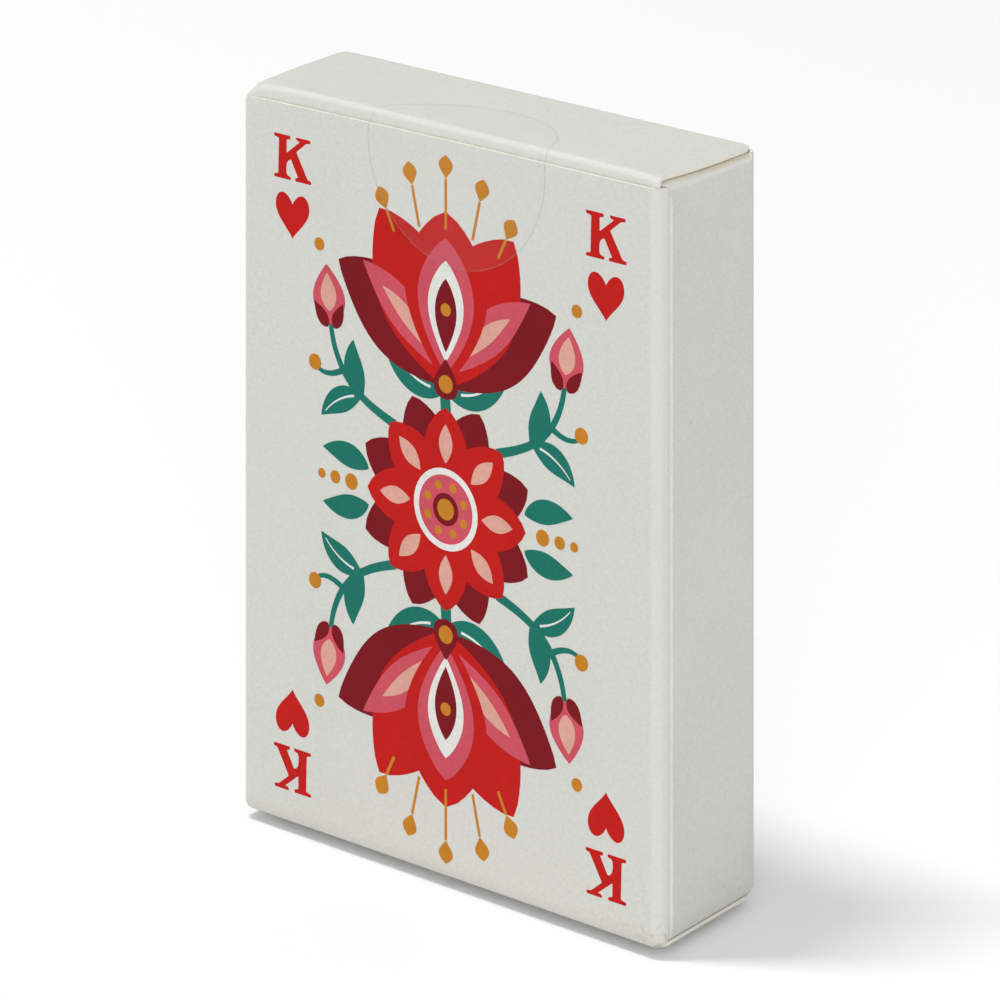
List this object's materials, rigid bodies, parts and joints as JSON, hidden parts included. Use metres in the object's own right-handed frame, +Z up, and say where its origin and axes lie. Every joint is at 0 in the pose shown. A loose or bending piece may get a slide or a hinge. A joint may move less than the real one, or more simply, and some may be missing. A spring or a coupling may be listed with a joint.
{
  "type": "playing card deck",
  "caption": "Playing card deck in an upright tuck box folded from one sheet of board, with hinged lid, tuck flap, dust flaps, round clear seal and loose cards inside.",
  "frame": {"origin": "middle of the base, on the surface the box stands on", "axes": "+Z up the box's height, -Y out of the printed front panel, +X to the right seen from the front"},
  "size_m": [0.0654, 0.0203, 0.0911],
  "materials": {
    "board": "uncoated off-white board, matt",
    "film": "clear adhesive film",
    "card_stock": "coated white card"
  },
  "bodies": {
    "carton": {"carton": "board"},
    "lid": {"lid": "board", "clear_seal": "film"},
    "tuck": {"tuck_flap": "board"},
    "left_dust": {"left_dust_flap": "board"},
    "right_dust": {"right_dust_flap": "board"},
    "deck": {"ace_of_spades": "card_stock", "two_of_spades": "card_stock", "three_of_spades": "card_stock", "four_of_spades": "card_stock", "five_of_spades": "card_stock", "six_of_spades": "card_stock", "seven_of_spades": "card_stock", "eight_of_spades": "card_stock", "nine_of_spades": "card_stock", "ten_of_spades": "card_stock", "jack_of_spades": "card_stock", "queen_of_spades": "card_stock", "king_of_spades": "card_stock", "ace_of_hearts": "card_stock", "two_of_hearts": "card_stock", "three_of_hearts": "card_stock", "four_of_hearts": "card_stock", "five_of_hearts": "card_stock", "six_of_hearts": "card_stock", "seven_of_hearts": "card_stock", "eight_of_hearts": "card_stock", "nine_of_hearts": "card_stock", "ten_of_hearts": "card_stock", "jack_of_hearts": "card_stock", "queen_of_hearts": "card_stock", "king_of_hearts": "card_stock", "ace_of_clubs": "card_stock", "two_of_clubs": "card_stock", "three_of_clubs": "card_stock", "four_of_clubs": "card_stock", "five_of_clubs": "card_stock", "six_of_clubs": "card_stock", "seven_of_clubs": "card_stock", "eight_of_clubs": "card_stock", "nine_of_clubs": "card_stock", "ten_of_clubs": "card_stock", "jack_of_clubs": "card_stock", "queen_of_clubs": "card_stock", "king_of_clubs": "card_stock", "ace_of_diamonds": "card_stock", "two_of_diamonds": "card_stock", "three_of_diamonds": "card_stock", "four_of_diamonds": "card_stock", "five_of_diamonds": "card_stock", "six_of_diamonds": "card_stock", "seven_of_diamonds": "card_stock", "eight_of_diamonds": "card_stock", "nine_of_diamonds": "card_stock", "ten_of_diamonds": "card_stock", "jack_of_diamonds": "card_stock", "queen_of_diamonds": "card_stock", "king_of_diamonds": "card_stock", "joker_red": "card_stock", "joker_black": "card_stock"}
  },
  "joints": [
    {"name": "lid_hinge", "type": "hinge", "parent": "carton", "child": "lid", "pos_m": [0, 0.0095, 0.0904], "axis": [-1, 0, 0], "range_deg": [0, 135]},
    {"name": "tuck_fold", "type": "hinge", "parent": "lid", "child": "tuck", "pos_m": [-0.00022, -0.00928, 0.0895], "axis": [-1, 0, 0], "range_deg": [0, 13.5]},
    {"name": "left_dust_fold", "type": "hinge", "parent": "carton", "child": "left_dust", "pos_m": [-0.03207, 0.00085, 0.08985], "axis": [0, -1, 0], "range_deg": [0, 90]},
    {"name": "right_dust_fold", "type": "hinge", "parent": "carton", "child": "right_dust", "pos_m": [0.03207, 0.00085, 0.08985], "axis": [0, 1, 0], "range_deg": [0, 90]},
    {"name": "deck_slide", "type": "slide", "parent": "carton", "child": "deck", "axis": [0, 0, 1], "range_m": [0, 0.0004]}
  ],
  "couplings": [
    {"joint": "tuck_fold", "follows": "lid_hinge", "ratio": 0.1},
    {"joint": "left_dust_fold", "follows": "lid_hinge", "ratio": 0.66666},
    {"joint": "right_dust_fold", "follows": "lid_hinge", "ratio": 0.66666}
  ]
}
